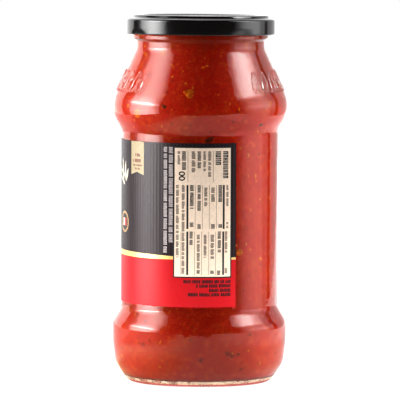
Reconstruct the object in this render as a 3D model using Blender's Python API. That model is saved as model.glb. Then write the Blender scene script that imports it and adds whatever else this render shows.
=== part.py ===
"""Tomato sauce jar: a turned glass jar with a narrower waist, the sauce in it, a black lug lid and a wrapped label.

The frame has +Z up, with its origin at the middle of the base, on the surface that the jar stands on.
-Y is the side that the camera faces. The sizes below are millimetres, and the meshes are metres.
"""

import math

import bmesh
import bpy
import numpy as np
from mathutils import Matrix, Vector

MM = 0.001

# Outside of the glass, from the base up
FOOT_RADIUS = 35.6
FOOT_RING_WIDTH = 2.5
HEEL_RADIUS = 38.0
HEEL_HEIGHT = 3.6
SEAM_RADIUS = 41.5
SEAM_HEIGHT = 8.9
LOWER_BULGE_RADIUS = 42.9
LOWER_BULGE_BOTTOM = 19.4
LOWER_BULGE_TOP = 29.2
LOWER_BULGE_FILLET = 31.0
WAIST_RADIUS = 38.6
WAIST_BOTTOM = 36.7
WAIST_TOP = 124.5
WAIST_FILLET = 7.0
SHOULDER_RADIUS = 43.0
SHOULDER_BOTTOM = 131.9
SHOULDER_TOP = 140.0
SHOULDER_FILLET = 16.2
NECK_RADIUS = 31.6
NECK_BOTTOM = 164.6
NECK_TOP = 168.6
NECK_FILLET = 6.4
BEAD_RADIUS = 33.5
BEAD_BOTTOM = 169.7
BEAD_TOP = 171.5
FINISH_RADIUS = 32.6
RIM_HEIGHT = 179.5

# Inside of the glass
WALL = 2.6
BORE_RADIUS = 30.0
BORE_BOTTOM = 171.2
PUSH_UP = 2.5
PUSH_UP_RADIUS = 15.8
BASE_THICKNESS = 4.4
FLOOR_RADIUS = 27.2

# The sauce stands above the lid's lower edge, so that its surface is out of sight
FILL_HEIGHT = 174.3
CLEARANCE = 0.3

# Lid, pressed from sheet, with its lugs curled in at the lower edge. Its heights are those of a level lid
LID_RADIUS = 36.65
LID_TOP = 181.07
LID_BOTTOM = 171.55
LID_SHEET = 0.4
PANEL_RADIUS = 27.8
PANEL_DROP = 0.95
RING_OUTER_RADIUS = 33.1
RING_INNER_RADIUS = 30.2
LEDGE_DROP = 1.2
SHOULDER_DROP = 1.9
BUTTON_RADIUS = 12.6
BUTTON_RISE = 0.3
CURL_DEPTH = 1.4
CURL_HEIGHT = 1.7
LUG_COUNT = 4
LUG_FIRST_ANGLE = -56.0
LUG_HALF_WIDTH = 13.0
LUG_DENT = 0.7
LUG_HEIGHT = 3.5

# The lid sits a little askew on its lugs: its tilt in degrees, and the side that stands highest
LID_TILT = 1.08
LID_HIGH_SIDE = -14.0

# Label, with angles in degrees from the camera's side, positive towards +X
LABEL_RIGHT_ANGLE = 27.0
LABEL_CENTRE_ANGLE = -115.0
LABEL_BOTTOM = 39.7
LABEL_TOP = 120.0
LABEL_SHEET = 0.25

# Fineness of the meshes: sides in a full turn, and the most that a chord may stray from its arc
SEGMENTS = 44
CHORD_ERROR = 0.12
SHARP_ANGLE = 35.0
WELD = 1e-6


def clear_scene():
    for obj in list(bpy.data.objects):
        bpy.data.objects.remove(obj, do_unlink=True)


def plain_material(name, colour, roughness, metallic=0.0, transmission=0.0):
    """A Principled surface of one colour."""
    material = bpy.data.materials.new(name)
    material.use_nodes = True
    shader = material.node_tree.nodes["Principled BSDF"]
    shader.inputs["Base Color"].default_value = (*colour, 1.0)
    shader.inputs["Roughness"].default_value = roughness
    shader.inputs["Metallic"].default_value = metallic
    shader.inputs["Transmission Weight"].default_value = transmission
    return material


def fillet_arc(before, corner, after, fillet):
    """Points along the arc that rounds a corner between its two neighbours."""
    back = before - corner
    ahead = after - corner
    back /= np.linalg.norm(back)
    ahead /= np.linalg.norm(ahead)
    turn = math.pi - math.acos(float(np.clip(back @ ahead, -1.0, 1.0)))
    middle = (back + ahead) / np.linalg.norm(back + ahead)
    centre = corner + middle * fillet / math.cos(turn / 2)
    start = corner + back * fillet * math.tan(turn / 2) - centre
    side = np.array([-start[1], start[0]])
    if side @ ahead < side @ back:
        side = -side
    widest_step = 2 * math.acos(max(0.5, 1 - CHORD_ERROR / fillet))
    steps = max(1, math.ceil(turn / widest_step))
    angles = [turn * step / steps for step in range(steps + 1)]
    return [centre + start * math.cos(angle) + side * math.sin(angle) for angle in angles]


def rounded(corners):
    """An outline of (radius, height) points along corners of (radius, height, fillet)."""
    places = [np.array(corner[:2], float) for corner in corners]
    points = [places[0]]
    for i in range(1, len(corners) - 1):
        fillet = corners[i][2]
        if fillet > 0:
            points += fillet_arc(places[i - 1], places[i], places[i + 1], fillet)
        else:
            points.append(places[i])
    return points + [places[-1]]


def inset(points, distance):
    """The outline moved by a distance to its right-hand side, seen along its run."""
    moved = []
    for i, here in enumerate(points):
        run = points[min(i + 1, len(points) - 1)] - points[max(i - 1, 0)]
        run = run / np.linalg.norm(run)
        moved.append(here + distance * np.array([run[1], -run[0]]))
    return moved


def glass_outside():
    """From the middle of the push-up out over the foot ring, and up the wall to the middle of the rim."""
    ring_inner = FOOT_RADIUS - 1.0 - FOOT_RING_WIDTH
    return rounded(
        [
            (0.0, PUSH_UP, 0.0),
            (PUSH_UP_RADIUS, PUSH_UP, 42.0),
            (ring_inner - 0.9, 0.9, 2.1),
            (ring_inner, 0.0, 0.0),
            (ring_inner + FOOT_RING_WIDTH, 0.0, 0.8),
            (FOOT_RADIUS + 0.5, 1.1, 2.1),
            (HEEL_RADIUS, HEEL_HEIGHT, 8.4),
            (SEAM_RADIUS, SEAM_HEIGHT, 0.0),
            (LOWER_BULGE_RADIUS, LOWER_BULGE_BOTTOM, LOWER_BULGE_FILLET),
            (LOWER_BULGE_RADIUS, LOWER_BULGE_TOP, LOWER_BULGE_FILLET / 4),
            (WAIST_RADIUS, WAIST_BOTTOM, WAIST_FILLET),
            (WAIST_RADIUS, WAIST_TOP, WAIST_FILLET),
            (SHOULDER_RADIUS, SHOULDER_BOTTOM, SHOULDER_FILLET),
            (SHOULDER_RADIUS, SHOULDER_TOP, SHOULDER_FILLET),
            (NECK_RADIUS, NECK_BOTTOM, NECK_FILLET),
            (NECK_RADIUS, NECK_TOP, 0.5),
            (BEAD_RADIUS, BEAD_BOTTOM, 0.6),
            (BEAD_RADIUS, BEAD_TOP, 0.6),
            (FINISH_RADIUS, BEAD_TOP + 0.9, 0.6),
            (FINISH_RADIUS, RIM_HEIGHT, 1.1),
            ((FINISH_RADIUS + BORE_RADIUS) / 2, RIM_HEIGHT, 0.0),
        ]
    )


def glass_inside():
    """The cavity, from the middle of the rim down to the middle of its floor."""
    neck = NECK_RADIUS - WALL
    shoulder = SHOULDER_RADIUS - WALL
    waist = WAIST_RADIUS - WALL
    lower_bulge = LOWER_BULGE_RADIUS - WALL
    return rounded(
        [
            ((FINISH_RADIUS + BORE_RADIUS) / 2, RIM_HEIGHT, 0.0),
            (BORE_RADIUS, RIM_HEIGHT, 1.0),
            (neck, BORE_BOTTOM, 8.4),
            (neck, NECK_BOTTOM - 0.7, NECK_FILLET + WALL),
            (shoulder, SHOULDER_TOP - 0.6, SHOULDER_FILLET - WALL),
            (shoulder, SHOULDER_BOTTOM + 0.5, SHOULDER_FILLET - WALL),
            (waist, WAIST_TOP + 0.8, WAIST_FILLET + WALL),
            (waist, WAIST_BOTTOM - 0.8, WAIST_FILLET + WALL),
            (lower_bulge, LOWER_BULGE_TOP - 0.9, LOWER_BULGE_FILLET / 4),
            (lower_bulge, 14.7, 21.0),
            (FOOT_RADIUS + 1.2, 4.8, 4.2),
            (FLOOR_RADIUS, BASE_THICKNESS, 12.6),
            (FLOOR_RADIUS - PUSH_UP_RADIUS, BASE_THICKNESS + PUSH_UP, 42.0),
            (0.0, BASE_THICKNESS + PUSH_UP, 0.0),
        ]
    )


def lid_outside():
    """From the middle of the panel over the raised ring and down the skirt to the middle of the curl."""
    panel = LID_TOP - PANEL_DROP
    return rounded(
        [
            (0.0, panel + BUTTON_RISE, 0.0),
            (BUTTON_RADIUS, panel + BUTTON_RISE, 3.2),
            (BUTTON_RADIUS + 1.3, panel, 3.2),
            (PANEL_RADIUS, panel, 3.0),
            (RING_INNER_RADIUS, LID_TOP, 1.5),
            (RING_OUTER_RADIUS, LID_TOP, 0.7),
            (RING_OUTER_RADIUS + 0.8, LID_TOP - LEDGE_DROP, 0.4),
            (LID_RADIUS - 0.6, LID_TOP - SHOULDER_DROP, 0.4),
            (LID_RADIUS, LID_TOP - SHOULDER_DROP - 0.6, 0.4),
            (LID_RADIUS, LID_BOTTOM, 0.6),
            (LID_RADIUS - CURL_DEPTH / 2, LID_BOTTOM, 0.0),
        ]
    )


def lid_inside():
    """From the middle of the curl up the skirt to the middle of the panel."""
    panel = LID_TOP - PANEL_DROP - LID_SHEET
    skirt = LID_RADIUS - LID_SHEET
    return rounded(
        [
            (LID_RADIUS - CURL_DEPTH / 2, LID_BOTTOM, 0.0),
            (LID_RADIUS - CURL_DEPTH, LID_BOTTOM, 0.5),
            (LID_RADIUS - CURL_DEPTH, LID_BOTTOM + CURL_HEIGHT, 0.5),
            (skirt, LID_BOTTOM + CURL_HEIGHT + 0.3, 0.0),
            (skirt, LID_TOP - SHOULDER_DROP - 0.7, 0.3),
            (skirt - 0.5, LID_TOP - SHOULDER_DROP - LID_SHEET, 0.3),
            (RING_OUTER_RADIUS + 0.5, LID_TOP - LEDGE_DROP - LID_SHEET, 0.3),
            (RING_OUTER_RADIUS - 0.3, LID_TOP - LID_SHEET, 0.4),
            (RING_INNER_RADIUS + 0.1, LID_TOP - LID_SHEET, 0.6),
            (PANEL_RADIUS + 0.1, panel, 2.0),
            (0.0, panel, 0.0),
        ]
    )


def sauce_outline():
    """From the middle of the sauce's surface out to the glass, and down the cavity to the middle of its underside."""
    wall = inset(glass_inside(), CLEARANCE)
    side = [point for point in wall if point[1] < FILL_HEIGHT - CLEARANCE]
    surface_edge = np.array([side[0][0], FILL_HEIGHT])
    underside_middle = np.array([0.0, side[-1][1]])
    return [np.array([0.0, FILL_HEIGHT]), surface_edge, *side[:-1], underside_middle]


def finished_object(name, shape, material):
    """The shape made an object, smooth except at its sharp edges."""
    bmesh.ops.remove_doubles(shape, verts=shape.verts, dist=WELD)
    bmesh.ops.recalc_face_normals(shape, faces=shape.faces)
    mesh = bpy.data.meshes.new(name)
    shape.to_mesh(mesh)
    shape.free()
    mesh.shade_smooth()
    mesh.set_sharp_from_angle(angle=math.radians(SHARP_ANGLE))
    mesh.materials.append(material)
    obj = bpy.data.objects.new(name, mesh)
    bpy.context.scene.collection.objects.link(obj)
    return obj


def turned_shape(outline):
    """A closed shape turned round the Z axis from an outline that starts and ends on it."""
    shape = bmesh.new()
    chain = [shape.verts.new((radius * MM, 0.0, height * MM)) for radius, height in outline]
    edges = [shape.edges.new(pair) for pair in zip(chain, chain[1:])]
    bmesh.ops.spin(
        shape,
        geom=chain + edges,
        axis=(0, 0, 1),
        angle=math.tau,
        steps=SEGMENTS,
        use_merge=True,
    )
    return shape


def press_lugs(shape):
    """Pushes the lower skirt in at each lug, most at the curl."""
    pitch = 360 / LUG_COUNT
    for vertex in shape.verts:
        x, y, z = vertex.co
        radius = math.hypot(x, y)
        share = 1 - (z / MM - LID_BOTTOM) / LUG_HEIGHT
        angle = math.degrees(math.atan2(x, -y))
        off = (angle - LUG_FIRST_ANGLE + pitch / 2) % pitch - pitch / 2
        if share <= 0 or radius < RING_OUTER_RADIUS * MM or abs(off) >= LUG_HALF_WIDTH:
            continue
        dent = LUG_DENT * MM * math.cos(math.pi * off / LUG_HALF_WIDTH / 2) ** 2
        dent *= math.sin(math.pi * min(share, 1.0) / 2) ** 2
        vertex.co.x -= dent * x / radius
        vertex.co.y -= dent * y / radius


def tilt_lid(shape):
    """Turns the lid about its own middle, so that it sits as it does on the glass."""
    high_side = math.radians(LID_HIGH_SIDE)
    turn_axis = Vector((-math.cos(high_side), -math.sin(high_side), 0.0))
    bmesh.ops.rotate(
        shape,
        cent=(0.0, 0.0, (LID_TOP + LID_BOTTOM) / 2 * MM),
        matrix=Matrix.Rotation(math.radians(LID_TILT), 3, turn_axis),
        verts=shape.verts,
    )


def label_shape():
    """A thin sheet bent round the waist, clear of the glass by the clearance."""
    inner = WAIST_RADIUS + CLEARANCE
    outer = inner + LABEL_SHEET
    section = [(inner, LABEL_BOTTOM), (outer, LABEL_BOTTOM), (outer, LABEL_TOP), (inner, LABEL_TOP)]
    start = math.radians(LABEL_RIGHT_ANGLE)
    sweep = 2 * math.radians(LABEL_RIGHT_ANGLE - LABEL_CENTRE_ANGLE)
    shape = bmesh.new()
    ring = []
    for radius, height in section:
        place = (radius * math.sin(start) * MM, -radius * math.cos(start) * MM, height * MM)
        ring.append(shape.verts.new(place))
    end = shape.faces.new(ring)
    bmesh.ops.spin(
        shape,
        geom=[end, *end.edges, *end.verts],
        axis=(0, 0, 1),
        angle=-sweep,
        steps=round(sweep / math.tau * SEGMENTS),
    )
    return shape


def main():
    clear_scene()
    clear_glass = plain_material("clear_glass", (0.92, 0.95, 0.93), 0.03, transmission=1.0)
    sauce_red = plain_material("sauce_red", (0.46, 0.025, 0.008), 0.4)
    black_enamel = plain_material("black_enamel", (0.012, 0.011, 0.012), 0.18)
    printed_paper = plain_material("printed_paper", (0.035, 0.032, 0.036), 0.45)

    jar = turned_shape(glass_outside() + glass_inside()[1:])
    sauce = turned_shape(sauce_outline())
    lid = turned_shape(lid_outside() + lid_inside()[1:])
    press_lugs(lid)
    tilt_lid(lid)
    finished_object("glass_jar", jar, clear_glass)
    finished_object("tomato_sauce", sauce, sauce_red)
    finished_object("lid", lid, black_enamel)
    finished_object("label", label_shape(), printed_paper)


main()
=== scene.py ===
"""Looks of the tomato sauce jar: moulded glass over pulpy sauce, a black enamelled lid and a ribbed label.

Sizes of the jar, its lid, its label and the food in it are in millimetres. The camera, the tabletop, the
lamps and what a material measures are in metres. Angles are degrees from the camera's side, positive
towards +X.
"""

import math
import random

import bmesh
import bpy
from mathutils import Matrix, Vector


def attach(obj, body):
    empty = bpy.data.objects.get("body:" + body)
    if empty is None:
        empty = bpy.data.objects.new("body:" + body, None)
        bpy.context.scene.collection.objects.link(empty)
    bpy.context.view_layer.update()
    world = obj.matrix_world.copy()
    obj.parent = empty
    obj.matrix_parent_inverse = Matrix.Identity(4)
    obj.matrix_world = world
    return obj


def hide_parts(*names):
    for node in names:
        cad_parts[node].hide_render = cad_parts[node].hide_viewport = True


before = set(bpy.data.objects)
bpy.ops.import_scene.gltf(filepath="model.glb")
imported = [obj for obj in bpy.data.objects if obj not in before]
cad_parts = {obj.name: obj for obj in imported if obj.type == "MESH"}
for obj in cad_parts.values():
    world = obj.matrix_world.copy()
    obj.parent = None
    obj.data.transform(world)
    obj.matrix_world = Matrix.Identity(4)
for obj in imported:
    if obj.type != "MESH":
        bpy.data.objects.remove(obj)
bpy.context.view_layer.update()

MM = 0.001

# Outlines of the turned pieces, as in the construction model
FOOT_RADIUS = 35.6
FOOT_RING_WIDTH = 2.5
SEAM_RADIUS = 41.5
SEAM_HEIGHT = 8.9
LOWER_BULGE_RADIUS = 42.9
LOWER_BULGE_FILLET = 31.0
LOWER_BULGE_TOP = 29.2
WAIST_RADIUS = 38.6
WAIST_BOTTOM = 36.7
WAIST_TOP = 124.5
WAIST_FILLET = 7.0
SHOULDER_RADIUS = 43.0
SHOULDER_BOTTOM = 131.9
SHOULDER_TOP = 140.0
SHOULDER_FILLET = 16.2
NECK_RADIUS = 31.6
NECK_BOTTOM = 164.6
NECK_FILLET = 6.4
BEAD_RADIUS = 33.5
BEAD_TOP = 171.5
FINISH_RADIUS = 32.6
RIM_HEIGHT = 179.5
WALL = 2.6
BORE_RADIUS = 30.0
PUSH_UP = 2.5
PUSH_UP_RADIUS = 15.8
BASE_THICKNESS = 4.4
FLOOR_RADIUS = 27.2
FILL_HEIGHT = 174.3
LID_RADIUS = 36.65
LID_TOP = 181.07
LID_BOTTOM = 171.55
LID_SHEET = 0.4
PANEL_RADIUS = 27.8
PANEL_DROP = 0.95
RING_OUTER_RADIUS = 33.1
RING_INNER_RADIUS = 30.2
LEDGE_DROP = 1.2
LID_SHOULDER_DROP = 1.9
BUTTON_RADIUS = 12.6
CURL_DEPTH = 1.4
CURL_HEIGHT = 1.7
LUG_COUNT = 4
LUG_FIRST_ANGLE = -56.0
LUG_HALF_WIDTH = 13.0
LUG_DENT = 0.7
LUG_HEIGHT = 3.5

# The lid sits slightly askew on the glass
LID_TILT = 1.08
LID_HIGH_SIDE = -14.0

# How far the sauce reaches into the glass wall, so that no air shows between them
SAUCE_REACH = 0.15

# Label sheet
LABEL_RIGHT_ANGLE = 27.0
LABEL_LEFT_ANGLE = -257.0
LABEL_BOTTOM = 39.7
LABEL_TOP = 120.0
LABEL_INNER_RADIUS = 38.65
LABEL_RADIUS = 38.9
MM_PER_DEGREE = math.radians(1) * LABEL_RADIUS

# Camera, fitted to the outline in the photograph
PICTURE_SIDE = 400
FOCAL_PIXELS = 4351.0
SENSOR_WIDTH = 36.0
CAMERA_DISTANCE = 2.157
CAMERA_ELEVATION = 4.55
CAMERA_ROLL = 0.245
CAMERA_AIM = Vector((0.00008, 0.0, 0.0893))


def operator(kind):
    """A method that adds a Math node for this wire and another value."""
    return lambda self, other: self.bench.math(kind, self, other)


def reflected(kind):
    """The same for a number before the wire."""
    return lambda self, other: self.bench.math(kind, other, self)


class Wire:
    """An output socket. An expression on wires and numbers adds its Math nodes."""

    def __init__(self, bench, socket):
        self.bench = bench
        self.socket = socket

    __add__, __radd__ = operator("ADD"), reflected("ADD")
    __sub__, __rsub__ = operator("SUBTRACT"), reflected("SUBTRACT")
    __mul__, __rmul__ = operator("MULTIPLY"), reflected("MULTIPLY")
    __truediv__, __rtruediv__ = operator("DIVIDE"), reflected("DIVIDE")
    __mod__ = operator("FLOORED_MODULO")
    __gt__ = operator("GREATER_THAN")


class Bench:
    """A node tree under construction."""

    def __init__(self, tree):
        self.tree = tree

    def connect(self, value, socket):
        """Links a wire to a socket, or sets the socket to a plain value."""
        if isinstance(value, Wire):
            self.tree.links.new(value.socket, socket)
        elif hasattr(value, "__len__") and len(value) == 3 and len(socket.default_value) == 4:
            socket.default_value = (*value, 1.0)
        else:
            socket.default_value = value

    def node(self, kind, settings=None, inputs=None, out=0):
        """Adds a node, sets its settings first and then its inputs, and returns one of its outputs."""
        made = self.tree.nodes.new(kind)
        for name, value in (settings or {}).items():
            if name == "stops":
                self.set_stops(made.color_ramp, value)
            else:
                setattr(made, name, value)
        for name, value in (inputs or {}).items():
            self.connect(value, made.inputs[name])
        return Wire(self, made.outputs[out]) if out is not None else made

    @staticmethod
    def set_stops(ramp, stops):
        while len(ramp.elements) < len(stops):
            ramp.elements.new(0.5)
        for element, (place, colour) in zip(ramp.elements, stops):
            element.position = place
            element.color = (*colour, 1.0)

    def math(self, operation, *values):
        return self.node("ShaderNodeMath", {"operation": operation}, dict(enumerate(values)))

    def clamped(self, value):
        return self.node("ShaderNodeClamp", inputs={"Value": value})

    def step(self, value, edge, softness):
        """0 where the value is under the edge and 1 over it, with a soft change between."""
        return self.clamped((value - edge) / softness + 0.5)

    def smooth(self, value, low, high, to_low=0.0, to_high=1.0):
        """A smooth change of the value from one range to another."""
        return self.node(
            "ShaderNodeMapRange",
            {"interpolation_type": "SMOOTHSTEP"},
            {"Value": value, "From Min": low, "From Max": high, "To Min": to_low, "To Max": to_high},
        )

    def mix(self, factor, first, second):
        """A colour between two."""
        inputs = {0: factor, 6: first, 7: second}
        return self.node("ShaderNodeMix", {"data_type": "RGBA"}, inputs, out=2)

    def product(self, first, second):
        """Two colours multiplied."""
        settings = {"data_type": "RGBA", "blend_type": "MULTIPLY"}
        return self.node("ShaderNodeMix", settings, {0: 1.0, 6: first, 7: second}, out=2)

    def ramp(self, value, stops):
        return self.node("ShaderNodeValToRGB", {"stops": stops}, {"Fac": value})

    def noise(self, place, scale, detail=2.0, roughness=0.5, distortion=0.0):
        inputs = {"Vector": place, "Scale": scale, "Detail": detail, "Roughness": roughness}
        return self.node("ShaderNodeTexNoise", inputs={**inputs, "Distortion": distortion}, out="Fac")

    def apart(self, vector):
        """The three parts of a vector."""
        made = self.node("ShaderNodeSeparateXYZ", inputs={"Vector": vector}, out=None)
        return [Wire(self, socket) for socket in made.outputs]

    def together(self, x, y, z):
        return self.node("ShaderNodeCombineXYZ", inputs={"X": x, "Y": y, "Z": z})

    def scaled(self, vector, factor):
        return self.node("ShaderNodeVectorMath", {"operation": "SCALE"}, {0: vector, "Scale": factor})

    def around(self, radius, angle, height):
        """A place at an angle in radians round the jar, counted from the camera's side."""
        across, back = radius * self.math("SINE", angle), radius * self.math("COSINE", angle)
        return self.together(across, 0.0 - back, height)

    def attribute(self, name):
        """A vector that each point carries."""
        kind = {"data_type": "FLOAT_VECTOR"}
        return self.node("GeometryNodeInputNamedAttribute", kind, {"Name": name})

    def position(self):
        return self.node("GeometryNodeInputPosition")

    def moved(self, geometry, **inputs):
        """The geometry moved to a Position or by an Offset."""
        return self.node("GeometryNodeSetPosition", inputs={"Geometry": geometry, **inputs})

    def on_points(self, points, shape, **inputs):
        """A copy of a shape on each point, with the Rotation and Scale that are given."""
        inputs = {"Points": points, "Instance": shape, **inputs}
        copies = self.node("GeometryNodeInstanceOnPoints", inputs=inputs)
        return self.node("GeometryNodeRealizeInstances", inputs={"Geometry": copies})

    def rotation(self, angles):
        return self.node("FunctionNodeEulerToRotation", inputs={"Euler": angles})


def empty_bench(owner):
    """The bench for the emptied node tree of a material, a lamp or a world."""
    owner.use_nodes = True
    owner.node_tree.nodes.clear()
    return Bench(owner.node_tree)


def new_material(name):
    """A material with an empty tree, the bench for it, and the place on the piece."""
    material = bpy.data.materials.new(name)
    bench = empty_bench(material)
    return material, bench, bench.node("ShaderNodeTexCoord", out="Object")


def principled(bench, inputs):
    return bench.node("ShaderNodeBsdfPrincipled", inputs=inputs)


def finished(material, bench, shader):
    """The material, with this shader or these inputs of a principled one as its surface."""
    if isinstance(shader, dict):
        shader = principled(bench, shader)
    bench.node("ShaderNodeOutputMaterial", inputs={"Surface": shader}, out=None)
    return material


def bump(bench, height, distance, strength=1.0):
    inputs = {"Height": height, "Distance": distance, "Strength": strength}
    return bench.node("ShaderNodeBump", inputs=inputs)


def moulded_glass():
    """Clear glass with faint ripples and smudges, which lets lamps through to the sauce. Round the foot, an
    opaque painted band covers it in patches.
    """
    material, bench, place = new_material("moulded_glass")
    smudges = bench.noise(place, 55, 3)
    ripples = bench.noise(place, 90, 1) + bench.noise(place, 260, 2) * 0.5
    glass = principled(
        bench,
        {
            "Base Color": (0.97, 0.99, 0.975),
            "Roughness": bench.smooth(smudges, 0.35, 0.75, 0.0, 0.03),
            "IOR": 1.5,
            "Transmission Weight": 1.0,
            "Normal": bump(bench, ripples, 0.00011),
        },
    )
    # Round the foot an opaque band is painted over the glass, broken by patches of clear glass. At the lowest
    # edge it is a dark red painted reflection of the sauce. Above that, a stipple of cream and dark paints
    # the lit
    # tabletop that shows through the knurled glass, and a dark line runs along its top.
    stipple = bench.noise(place, 2200, 3, 0.6)
    _, _, height = bench.apart(place)
    patches = bench.noise(place, 140, 2)
    upper = bench.smooth(height, 0.0013, 0.0016)
    line = bench.smooth(height, 0.0028, 0.003)
    band = bench.smooth(height, 0.0037, 0.0034)
    cream = bench.mix(bench.smooth(stipple, 0.42, 0.6), (0.42, 0.32, 0.21), (0.08, 0.045, 0.03))
    cream = bench.mix(line, cream, (0.05, 0.022, 0.018))
    painted_foot_band = principled(
        bench,
        {
            "Base Color": bench.mix(upper, (0.2, 0.03, 0.022), cream),
            "Roughness": bench.smooth(stipple, 0.3, 0.7, 0.5, 0.7),
        },
    )
    broken = bench.smooth(patches + stipple * 0.5, 0.55, 0.75, 0.3, 0.85)
    inputs = {0: band * broken, 1: glass, 2: painted_foot_band}
    glass = bench.node("ShaderNodeMixShader", inputs=inputs)
    open_to_lamps = bench.node("ShaderNodeBsdfTransparent", inputs={"Color": (0.94, 0.96, 0.945)})
    shadow_ray = bench.node("ShaderNodeLightPath", out="Is Shadow Ray")
    inputs = {0: shadow_ray, 1: glass, 2: open_to_lamps}
    return finished(material, bench, bench.node("ShaderNodeMixShader", inputs=inputs))


def pulpy_sauce():
    """Tomato sauce: red that light travels far through, with clouds of orange pulp and a fine grain."""
    material, bench, place = new_material("pulpy_sauce")
    clouds = bench.noise(place, 38, 3, 0.55, 0.4)
    pulp = bench.noise(place, 380, 3, 0.5)
    grain = bench.noise(place, 900, 2)
    base = bench.ramp(clouds, [(0.34, (0.76, 0.041, 0.0025)), (0.66, (0.84, 0.076, 0.0035))])
    pulpy = bench.mix(bench.smooth(pulp, 0.5, 0.72, 0.0, 0.5), base, (0.97, 0.17, 0.006))
    grainy = bench.mix(bench.smooth(grain, 0.35, 0.6, 0.3, 0.0), pulpy, (0.5, 0.018, 0.0015))
    inputs = {
        "Base Color": grainy,
        "Roughness": bench.smooth(pulp, 0.3, 0.7, 0.3, 0.55),
        "Specular IOR Level": 0.1,
        "Subsurface Weight": 0.9,
        "Subsurface Radius": (1.0, 0.03, 0.02),
        "Subsurface Scale": 0.06,
        "Normal": bump(bench, pulp, 0.0001, 0.5),
    }
    return finished(material, bench, inputs)


def black_enamel():
    """Glossy black enamel on tinplate, with a faint orange peel."""
    material, bench, place = new_material("black_enamel")
    peel = bench.noise(place, 700, 2)
    haze = bench.noise(place, 60, 3)
    inputs = {
        "Base Color": bench.mix(haze, (0.014, 0.011, 0.011), (0.02, 0.017, 0.017)),
        "Roughness": bench.smooth(haze, 0.3, 0.75, 0.1, 0.18),
        "Specular IOR Level": 0.68,
        "Normal": bump(bench, peel, 0.00002),
    }
    return finished(material, bench, inputs)


def ink(name, colour, darker, roughness):
    """A printed ink or paper shade, slightly mottled."""
    material, bench, place = new_material(name)
    mottle = bench.noise(place, 900, 3)
    inputs = {
        "Base Color": bench.mix(bench.smooth(mottle, 0.35, 0.7), colour, darker),
        "Roughness": bench.smooth(mottle, 0.3, 0.7, roughness - 0.05, roughness + 0.05),
        "Normal": bump(bench, mottle, 0.00001),
    }
    return finished(material, bench, inputs)


RIB_PITCH = 1.9
GOLD_LINE_BOTTOM = 63.0
# How softly one printed field meets the next, in metres
PRINT_EDGE = 0.0001


def ribbed_label():
    """Label paper: a black field with fine upright ribs over a red field, parted by a tapering gold line."""
    material, bench, place = new_material("ribbed_label")
    flat = bench.node("ShaderNodeUVMap", {"uv_map": "label_flat"})
    along, height, _ = bench.apart(flat)
    gold_top = bench.smooth(along, 0.018, -0.055, 0.0011, 0.0026) + GOLD_LINE_BOTTOM * MM
    black = bench.step(height, gold_top, PRINT_EDGE)
    gold = bench.step(height, GOLD_LINE_BOTTOM * MM, PRINT_EDGE) - black
    mottle = bench.noise(place, 600, 3)
    wave = bench.math("COSINE", along * (math.tau / (RIB_PITCH * MM)))
    black_ink_and_rib_sheen = bench.mix(mottle, (0.014, 0.004, 0.006), (0.024, 0.011, 0.014))
    # Each rib's crest on the black field is painted lighter: a painted sheen along the ribs over the black
    # ink.
    black_ink_and_rib_sheen = bench.mix(bench.smooth(wave, 0.1, 0.9, 0.0, 0.45), black_ink_and_rib_sheen, (0.05, 0.036, 0.04))
    red_ink = bench.mix(mottle, (0.46, 0.0015, 0.008), (0.54, 0.003, 0.011))
    gold_ink = bench.mix(mottle, (0.75, 0.52, 0.18), (0.85, 0.68, 0.32))
    fields = bench.mix(black, red_ink, black_ink_and_rib_sheen)
    relief = wave * black * 0.25 + bench.noise(place, 1600, 2) * 0.35
    inputs = {
        "Base Color": bench.mix(gold, fields, gold_ink),
        "Roughness": bench.smooth(mottle, 0.3, 0.7, 0.32, 0.4),
        "Specular IOR Level": 0.38,
        "Metallic": gold * 0.5,
        "Normal": bump(bench, relief, 0.00006),
    }
    return finished(material, bench, inputs)


def food_bit(name, colour, other):
    """A wet bit of food in the sauce, uneven in colour."""
    material, bench, place = new_material(name)
    patches = bench.noise(place, 800, 2)
    inputs = {
        "Base Color": bench.mix(bench.smooth(patches, 0.35, 0.65), colour, other),
        "Roughness": bench.smooth(patches, 0.3, 0.7, 0.35, 0.5),
        "IOR": 1.2,
        "Normal": bump(bench, patches, 0.00005),
    }
    return finished(material, bench, inputs)


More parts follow.
